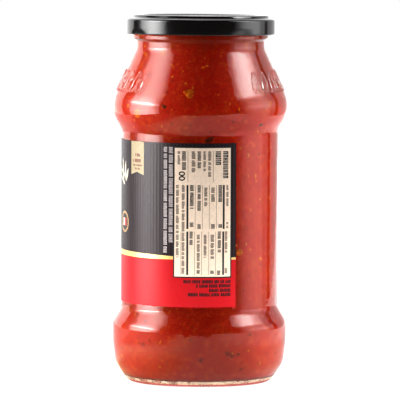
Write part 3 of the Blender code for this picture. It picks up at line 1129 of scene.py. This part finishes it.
# The cream panel near the label's right edge, turned on its side: its lines read downwards, and the first
# one is on the right. Lines are given as distances from the panel's right edge and from its top.
PANEL_RIGHT = 15.35
PANEL_LEFT = -12.55
PANEL_TOP = 117.7
PANEL_BOTTOM = 54.8
PANEL_BORDER = 0.6

# Near edge, far edge, start and end of each line of words
HEADING_LINES = [(1.3, 3.9, 1.6, 15.0), (5.0, 7.7, 1.6, 8.9)]
BOLD_LINES = [
    (14.9, 16.5, 1.6, 10.9), (22.2, 24.2, 1.6, 10.7), (4.3, 6.2, 18.1, 26.9), (14.9, 16.5, 18.1, 30.7),
    (18.4, 20.2, 18.1, 29.7), (4.9, 6.5, 40.8, 51.2), (18.8, 20.3, 40.8, 48.1), (4.3, 6.2, 37.2, 39.5),
    (8.0, 9.8, 37.2, 39.5), (14.9, 16.5, 37.2, 39.5), (18.4, 20.2, 36.4, 39.5), (5.2, 6.8, 59.9, 62.0),
    (8.4, 10.2, 59.9, 62.0), (15.3, 16.8, 59.6, 62.0),
]
PLAIN_LINES = [
    (9.9, 11.3, 1.6, 14.1), (12.5, 13.7, 1.6, 11.4), (17.6, 19.4, 1.6, 12.5), (25.1, 26.4, 1.6, 8.9),
    (1.1, 2.2, 18.1, 28.6), (8.0, 9.8, 19.3, 26.9), (11.7, 13.2, 19.3, 28.4), (22.8, 24.2, 18.1, 62.0),
    (25.7, 27.2, 18.1, 53.6), (1.6, 2.9, 40.8, 51.3), (8.3, 10.0, 42.3, 54.1), (12.0, 13.4, 42.3, 53.6),
    (15.3, 16.7, 42.3, 58.8), (1.1, 2.2, 36.2, 39.5), (1.6, 2.9, 58.7, 62.0),
]
# Distance from the right edge, start and end of each thin rule, and of each thick bar
THIN_RULES = [(8.8, 1.3, 16.6), (21.2, 1.3, 16.6)]
THIN_RULES += [(across, 18.1, 39.5) for across in (7.2, 10.7, 14.1, 17.6)]
THIN_RULES += [(across, 40.8, 62.0) for across in (7.5, 10.9, 14.4, 17.8, 24.6)]
THICK_BARS = [(3.5, 18.1, 39.5), (21.4, 18.1, 39.5), (3.7, 40.8, 62.0), (21.4, 40.8, 62.0)]
# The two large figures of the panel are plain rings
FIGURE_MIDDLE = 24.2
FIGURE_STARTS = (11.6, 13.9)


def panel_print(black):
    """The words, rules and bars on the panel."""
    bold, plain = Marks(11), Marks(12)
    for print_line, lines, letter in (
        (bold.strokes_down, HEADING_LINES, 1.5),
        (bold.strokes_down, BOLD_LINES, 0.85),
        (plain.line_down, PLAIN_LINES, 0.5),
    ):
        for near, far, start, end in lines:
            print_line(PANEL_RIGHT - far, PANEL_RIGHT - near, PANEL_TOP - start, PANEL_TOP - end, letter)
    for marks, rules, half in ((plain, THIN_RULES, 0.09), (bold, THICK_BARS, 0.45)):
        for across, start, end in rules:
            middle = PANEL_RIGHT - across
            marks.block(middle - half, middle + half, PANEL_TOP - end, PANEL_TOP - start)
    figures = FlatPrint()
    for start in FIGURE_STARTS:
        figures.ring(PANEL_RIGHT - FIGURE_MIDDLE, PANEL_TOP - start - 1.0, 1.6, 1.15, 0.6, 20)
    grey = ink("fine_print", (0.2, 0.15, 0.12), (0.26, 0.2, 0.16), 0.45)
    return [
        bold.piece("panel_bold_print", black, 3 * INK),
        plain.piece("panel_fine_print", grey, 3 * INK),
        figures.piece("panel_figures", black, 2 * INK),
    ]


def make_panel():
    border, field = FlatPrint(), FlatPrint()
    edges = (PANEL_LEFT, PANEL_RIGHT, PANEL_BOTTOM, PANEL_TOP)
    border.block(*(edge + PANEL_BORDER * side for edge, side in zip(edges, (-1, 1, -1, 1))))
    field.block(*edges)
    black = ink("border_black", (0.018, 0.015, 0.016), (0.026, 0.022, 0.024), 0.42)
    cream = ink("panel_cream", (0.9, 0.74, 0.6), (0.82, 0.67, 0.54), 0.5)
    panel = [border.piece("panel_border", black), field.piece("cream_panel", cream, INK)]
    return panel + panel_print(black)


# Places on the black and the red field, in label lengths and heights
WORD_COLUMNS = [(-18.4, -16.5, 118.0, 65.7), (-15.6, -13.5, 118.0, 70.6)]
# Start, and lower and upper edge, of the lines on the red field, which all end at one length
ADDRESS_END = 15.5
ADDRESS_LINES = [(-8.1, 51.6, 53.2), (-2.1, 49.5, 51.1), (4.4, 47.3, 48.9), (-6.3, 45.2, 46.8)]
RIBBON_LEFT = -40.7
RIBBON_RIGHT = -30.5
RIBBON_TIPS = 103.5
RIBBON_NOTCH = 104.9
RIBBON_LINES = [
    (-37.5, -33.1, 112.5, 114.0), (-38.9, -32.7, 109.7, 111.3), (-39.4, -32.0, 107.8, 108.6),
    (-37.5, -33.5, 106.1, 107.1),
]
BADGE_ALONG = -48.7
BADGE_HEIGHT = 79.6
BADGE_RADIUS = 5.2
BADGE_DOTS = 28
EMBLEM_ALONG = -78.0
EMBLEM_HEIGHT = 84.0
FAR_PANEL_LEFT = -166.0
FAR_PANEL_RIGHT = -136.0
FAR_PANEL_BOTTOM = 68.0
FAR_PANEL_TOP = 114.0
FAR_LINES = 11
FAR_LINE_PITCH = 2.4


def make_ribbon():
    ribbon = FlatPrint()

    def place(u, v):
        bottom = RIBBON_TIPS + (RIBBON_NOTCH - RIBBON_TIPS) * (1 - abs(2 * u - 1))
        return RIBBON_LEFT + u * (RIBBON_RIGHT - RIBBON_LEFT), bottom + v * (LABEL_TOP - 0.05 - bottom)

    ribbon.patch(place, 16)
    cream = ink("ribbon_cream", (0.44, 0.36, 0.22), (0.39, 0.32, 0.19), 0.45)
    brown = ink("ribbon_brown", (0.17, 0.06, 0.035), (0.22, 0.08, 0.045), 0.45)
    words = Marks(21)
    for left, right, bottom, top in RIBBON_LINES:
        words.line_across(left, right, bottom, top, 0.6)
    return [ribbon.piece("ribbon", cream), words.piece("ribbon_words", brown, 2 * INK)]


def make_words():
    columns, address = Marks(31), Marks(32)
    for left, right, top, bottom in WORD_COLUMNS:
        columns.strokes_down(left, right, top, bottom, 1.0)
    for left, bottom, top in ADDRESS_LINES:
        address.line_across(left, ADDRESS_END, bottom, top)
    pale = ink("word_white", (0.6, 0.53, 0.52), (0.5, 0.44, 0.43), 0.45)
    dark = ink("address_dark", (0.035, 0.003, 0.005), (0.05, 0.004, 0.007), 0.45)
    return [columns.piece("column_words", pale, INK), address.piece("address_words", dark, INK)]


def make_badge(gold, white, red):
    """A thin ring and a ring of small dots round two fields of colour."""
    ring, left_field, right_field = FlatPrint(), FlatPrint(), FlatPrint()
    ring.ring(BADGE_ALONG, BADGE_HEIGHT, BADGE_RADIUS, BADGE_RADIUS, 0.5)
    for step in range(BADGE_DOTS):
        turn = math.tau * step / BADGE_DOTS
        x = BADGE_ALONG + (BADGE_RADIUS - 0.95) * math.cos(turn)
        y = BADGE_HEIGHT + (BADGE_RADIUS - 0.95) * math.sin(turn)
        ring.disc(x, y, 0.3, 0.3, 6)
    for field, left, right in ((left_field, -2.3, 0.2), (right_field, 0.3, 2.3)):
        field.block(BADGE_ALONG + left, BADGE_ALONG + right, BADGE_HEIGHT - 1.9, BADGE_HEIGHT + 1.9)
    return [
        ring.piece("badge_ring", gold),
        left_field.piece("badge_white", white),
        right_field.piece("badge_red", red),
    ]


def make_emblem(gold, white, red, green):
    """A plain tomato in an oval frame between two sprays of leaves, on the label's middle."""
    frame_ring, fruit, sepals, sprays = FlatPrint(), FlatPrint(), FlatPrint(), FlatPrint()
    frame_ring.ring(EMBLEM_ALONG, EMBLEM_HEIGHT, 17.0, 14.5, 0.9, 72)
    frame_ring.ring(EMBLEM_ALONG, EMBLEM_HEIGHT, 15.4, 12.9, 0.35, 72)
    fruit.disc(EMBLEM_ALONG, EMBLEM_HEIGHT - 1.5, 9.2, 7.6, 36)
    for turn in (18, 54, 90, 126, 162):
        sepals.leaf(EMBLEM_ALONG, EMBLEM_HEIGHT + 5.6, turn, 4.4 if turn != 90 else 3.2, 1.7)
    for side in (-1, 1):
        for step in range(6):
            x = EMBLEM_ALONG + side * (4.0 + 4.3 * step)
            y = 103.2 + 1.1 * step - 0.32 * step * step
            for lean in (38, -38):
                sprays.leaf(x, y, lean if side > 0 else 180 - lean, 4.6, 1.9)
        for offset, turn, length in ((27.6, 100, 12.5), (29.6, 84, 10.5), (31.2, 68, 7.5)):
            sprays.leaf(EMBLEM_ALONG + side * offset, 99.4, turn if side > 0 else 180 - turn, length, 1.9)
    sprays.disc(EMBLEM_ALONG, 103.2, 1.5, 1.5)
    return [
        frame_ring.piece("emblem_frame", gold),
        fruit.piece("emblem_fruit", red),
        sepals.piece("emblem_leaves", green, INK),
        sprays.piece("leaf_sprays", white),
    ]


def make_far_panel(white, black):
    """A pale panel of words and upright bars near the label's other edge."""
    field, words, bars = FlatPrint(), Marks(41), Marks(42)
    field.block(FAR_PANEL_LEFT, FAR_PANEL_RIGHT, FAR_PANEL_BOTTOM, FAR_PANEL_TOP)
    for step in range(FAR_LINES):
        bottom = FAR_PANEL_TOP - 3.4 - FAR_LINE_PITCH * step
        end = FAR_PANEL_RIGHT - (2.0 if step < FAR_LINES - 1 else 12.0)
        words.line_across(FAR_PANEL_LEFT + 2.0, end, bottom, bottom + 1.2)
    at = FAR_PANEL_LEFT + 4.0
    while at < FAR_PANEL_RIGHT - 4.5:
        width = bars.draw.choice((0.3, 0.3, 0.6, 0.9))
        bars.block(at, at + width, FAR_PANEL_BOTTOM + 2.5, FAR_PANEL_BOTTOM + 14.5)
        at += width + bars.draw.choice((0.3, 0.3, 0.6))
    return [
        field.piece("far_panel", white),
        words.piece("far_words", black, 2 * INK),
        bars.piece("far_bars", black, 2 * INK),
    ]


def make_artwork():
    """Everything printed on the label beside the panel."""
    gold = ink("print_gold", (0.72, 0.46, 0.22), (0.62, 0.38, 0.17), 0.4)
    white = ink("print_white", (0.74, 0.68, 0.56), (0.68, 0.62, 0.5), 0.45)
    red = ink("print_red", (0.62, 0.02, 0.02), (0.7, 0.03, 0.025), 0.4)
    green = ink("print_green", (0.05, 0.16, 0.03), (0.07, 0.2, 0.04), 0.45)
    black = ink("print_black", (0.02, 0.017, 0.018), (0.03, 0.026, 0.027), 0.45)
    artwork = make_ribbon() + make_words() + make_badge(gold, white, red)
    return artwork + make_emblem(gold, white, red, green) + make_far_panel(white, black)


# Tabletop and lamps. Lengths are in metres.
FLOOR_GLOW = 1.0
# Painted levels of the tabletop's glow as the glass mirrors it: darker at the left front, brighter at the
# right
FLOOR_GLOW_LEFT = 0.1
FLOOR_GLOW_RIGHT = 1.7
# What the glass mirrors of the tabletop that is tinted by the jar's own light, and of its shaded part
FLOOR_GLOW_NEAR = (1.35, 1.48, 1.1)
FLOOR_GLOW_FOOT = (0.85, 0.66, 0.4)
FLOOR_LIGHT = 1.0
FLOOR_LIGHT_NEAR = 5.2
FLOOR_FRONT = -0.36
FLOOR_BACK = 1.5
FLOOR_SIDE = 0.42
LAMP_AZIMUTH = 86.5
LAMP_DISTANCE = 1.2
LAMP_WIDTH = 1.5
LAMP_BOTTOM = -0.35
LAMP_TOP = 1.85
BACKDROP_RADIANCE = 2.0
BACKDROP_RADIANCE_RIGHT = 1.0
KEY_DISTANCE = 1.0
KEY_WIDTH = 0.6
KEY_HEIGHT = 0.4
KEY_MIDDLE = 0.2
KEY_AIM = 0.1
ROOM_RADIANCE = 0.012

# Each lamp's brightness from its far side to the side near the camera, and from its bottom to its top
LEFT_ACROSS = [
    (0.0, 0.0), (0.12, 0.02), (0.19, 0.07), (0.25, 0.35), (0.39, 0.64), (0.54, 0.95), (0.65, 1.0),
    (0.79, 0.8), (0.89, 0.4), (1.0, 0.1),
]
LEFT_UP = [
    (0.0, 0.24), (0.04, 0.36), (0.08, 0.38), (0.11, 0.3), (0.137, 0.44), (0.16, 0.38), (0.2, 0.37),
    (0.26, 0.4), (0.29, 0.6), (0.31, 0.95), (0.33, 0.95), (0.36, 0.52), (0.42, 0.44), (0.59, 0.27),
    (1.0, 0.16),
]
RIGHT_ACROSS = [
    (0.0, 0.2), (0.07, 0.4), (0.2, 0.42), (0.28, 0.85), (0.5, 1.0), (0.65, 0.93), (0.77, 0.7),
    (0.86, 0.36), (0.93, 0.18), (1.0, 0.1),
]
RIGHT_UP = [
    (0.0, 0.12), (0.17, 0.17), (0.21, 0.25), (0.26, 0.33), (0.3, 0.26), (0.35, 0.24), (0.4, 0.2),
    (0.47, 0.22), (0.54, 0.5), (0.58, 0.95), (1.0, 0.8),
]


def make_floor():
    mesh = bpy.data.meshes.new("floor")
    corners = [(-1, FLOOR_FRONT), (1, FLOOR_FRONT), (1, FLOOR_BACK), (-1, FLOOR_BACK)]
    mesh.from_pydata([(side * FLOOR_SIDE, y, 0.0) for side, y in corners], [], [(0, 1, 2, 3)])
    mesh.materials.append(pale_floor())
    return placed("floor", mesh)


def grey_stops(stops):
    return [(place, (level, level, level)) for place, level in stops]


def area_lamp(name, radiance, azimuth, distance, middle, aim, width, height):
    """A rectangular lamp at an angle round the jar, turned towards a height on its axis."""
    lamp = bpy.data.lights.new(name, "AREA")
    lamp.shape = "RECTANGLE"
    lamp.size = width
    lamp.size_y = height
    lamp.energy = radiance * math.pi * lamp.size * lamp.size_y
    obj = placed(name, lamp)
    turn = math.radians(azimuth)
    obj.location = (distance * math.sin(turn), -distance * math.cos(turn), middle)
    towards = Vector((0.0, 0.0, aim)) - obj.location
    obj.rotation_euler = towards.to_track_quat("-Z", "Y").to_euler()
    obj.visible_camera = False
    return obj


def softbox(name, side, radiance, across, up):
    """An upright lamp beside the jar, which only shows in reflections. The side is -1 or 1."""
    middle, height = (LAMP_TOP + LAMP_BOTTOM) / 2, LAMP_TOP - LAMP_BOTTOM
    azimuth = side * LAMP_AZIMUTH
    obj = area_lamp(name, radiance, azimuth, LAMP_DISTANCE, middle, middle, LAMP_WIDTH, height)
    obj.visible_diffuse = False
    bench = empty_bench(obj.data)
    share_across, share_up, _ = bench.apart(bench.node("ShaderNodeNewGeometry", out="Parametric"))
    near_camera = share_across if side < 0 else 1 - share_across
    level = bench.ramp(near_camera, grey_stops(across))
    level = bench.product(level, bench.ramp(share_up, grey_stops(up)))
    emission = bench.node("ShaderNodeEmission", inputs={"Color": level, "Strength": 1.0})
    bench.node("ShaderNodeOutputLight", inputs={"Surface": emission}, out=None)


def key_lamp(name, azimuth, radiance):
    """A lamp that lights the sauce and the print, and isn't mirrored in the glass."""
    obj = area_lamp(name, radiance, azimuth, KEY_DISTANCE, KEY_MIDDLE, KEY_AIM, KEY_WIDTH, KEY_HEIGHT)
    obj.visible_glossy = False
    obj.visible_transmission = False


def studio_world():
    """A white backdrop, dimmer on the right, and a dark room in front of it. The camera sees white."""
    world = bpy.data.worlds.new("studio")
    bench = empty_bench(world)
    x, y, _ = bench.apart(bench.node("ShaderNodeTexCoord", out="Generated"))
    azimuth = bench.math("ARCTAN2", bench.math("ABSOLUTE", x), 0.0 - y)
    behind = bench.smooth(azimuth, math.radians(125), math.radians(130))
    backdrop = bench.smooth(x, -0.1, 0.3, BACKDROP_RADIANCE, BACKDROP_RADIANCE_RIGHT)
    strength = behind * backdrop + ROOM_RADIANCE
    around = bench.node("ShaderNodeBackground", inputs={"Color": (1.0, 1.0, 1.0), "Strength": strength})
    seen = bench.node("ShaderNodeBackground", inputs={"Color": (1.0, 1.0, 1.0), "Strength": 1.0})
    camera_ray = bench.node("ShaderNodeLightPath", out="Is Camera Ray")
    shader = bench.node("ShaderNodeMixShader", inputs={0: camera_ray, 1: around, 2: seen})
    bench.node("ShaderNodeOutputWorld", inputs={"Surface": shader}, out=None)
    bpy.context.scene.world = world


def set_camera():
    camera = bpy.data.cameras.new("camera")
    camera.sensor_width = SENSOR_WIDTH
    camera.lens = FOCAL_PIXELS * SENSOR_WIDTH / PICTURE_SIDE
    camera.clip_start = 0.1
    camera.clip_end = 50.0
    obj = placed("camera", camera)
    raised = math.radians(CAMERA_ELEVATION)
    back = Vector((0.0, -math.cos(raised), math.sin(raised)))
    obj.location = CAMERA_AIM + back * CAMERA_DISTANCE
    obj.rotation_euler = (-back).to_track_quat("-Z", "Y").to_euler()
    obj.rotation_euler.rotate_axis("Z", math.radians(CAMERA_ROLL))
    bpy.context.scene.camera = obj


def set_light():
    softbox("left_softbox", -1, 30.0, LEFT_ACROSS, LEFT_UP)
    softbox("right_softbox", 1, 13.8, RIGHT_ACROSS, RIGHT_UP)
    key_lamp("left_key", -92.0, 14.5)
    key_lamp("right_key", 96.0, 13.5)
    key_lamp("front_fill", -5.0, 2.0)
    studio_world()
    scene = bpy.context.scene
    scene.view_settings.view_transform = "Standard"
    scene.view_settings.gamma = 0.8
    scene.cycles.max_bounces = 16
    scene.cycles.transmission_bounces = 12
    scene.cycles.glossy_bounces = 6
    scene.cycles.transparent_max_bounces = 12
    scene.cycles.sample_clamp_indirect = 4.0
    scene.cycles.caustics_refractive = False


def main():
    glass = moulded_glass()
    jar = make_jar(glass)
    ovals = make_ovals(glass)
    sauce = make_sauce()
    lid = make_lid()
    label = make_label()
    prints = make_panel() + make_artwork()
    bits = make_bits()
    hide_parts("glass_jar")
    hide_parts("tomato_sauce")
    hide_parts("lid")
    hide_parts("label")
    slots = {jar: "clear_glass", ovals: "clear_glass", sauce: "sauce_red"}
    slots.update({lid: "black_enamel", label: "printed_paper"})
    slots.update({part: "printed_paper" for part in prints})
    slots.update({part: "sauce_red" for part in bits})
    for part, slot_name in slots.items():
        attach(part, "root")
    make_floor()
    set_light()
    set_camera()


main()
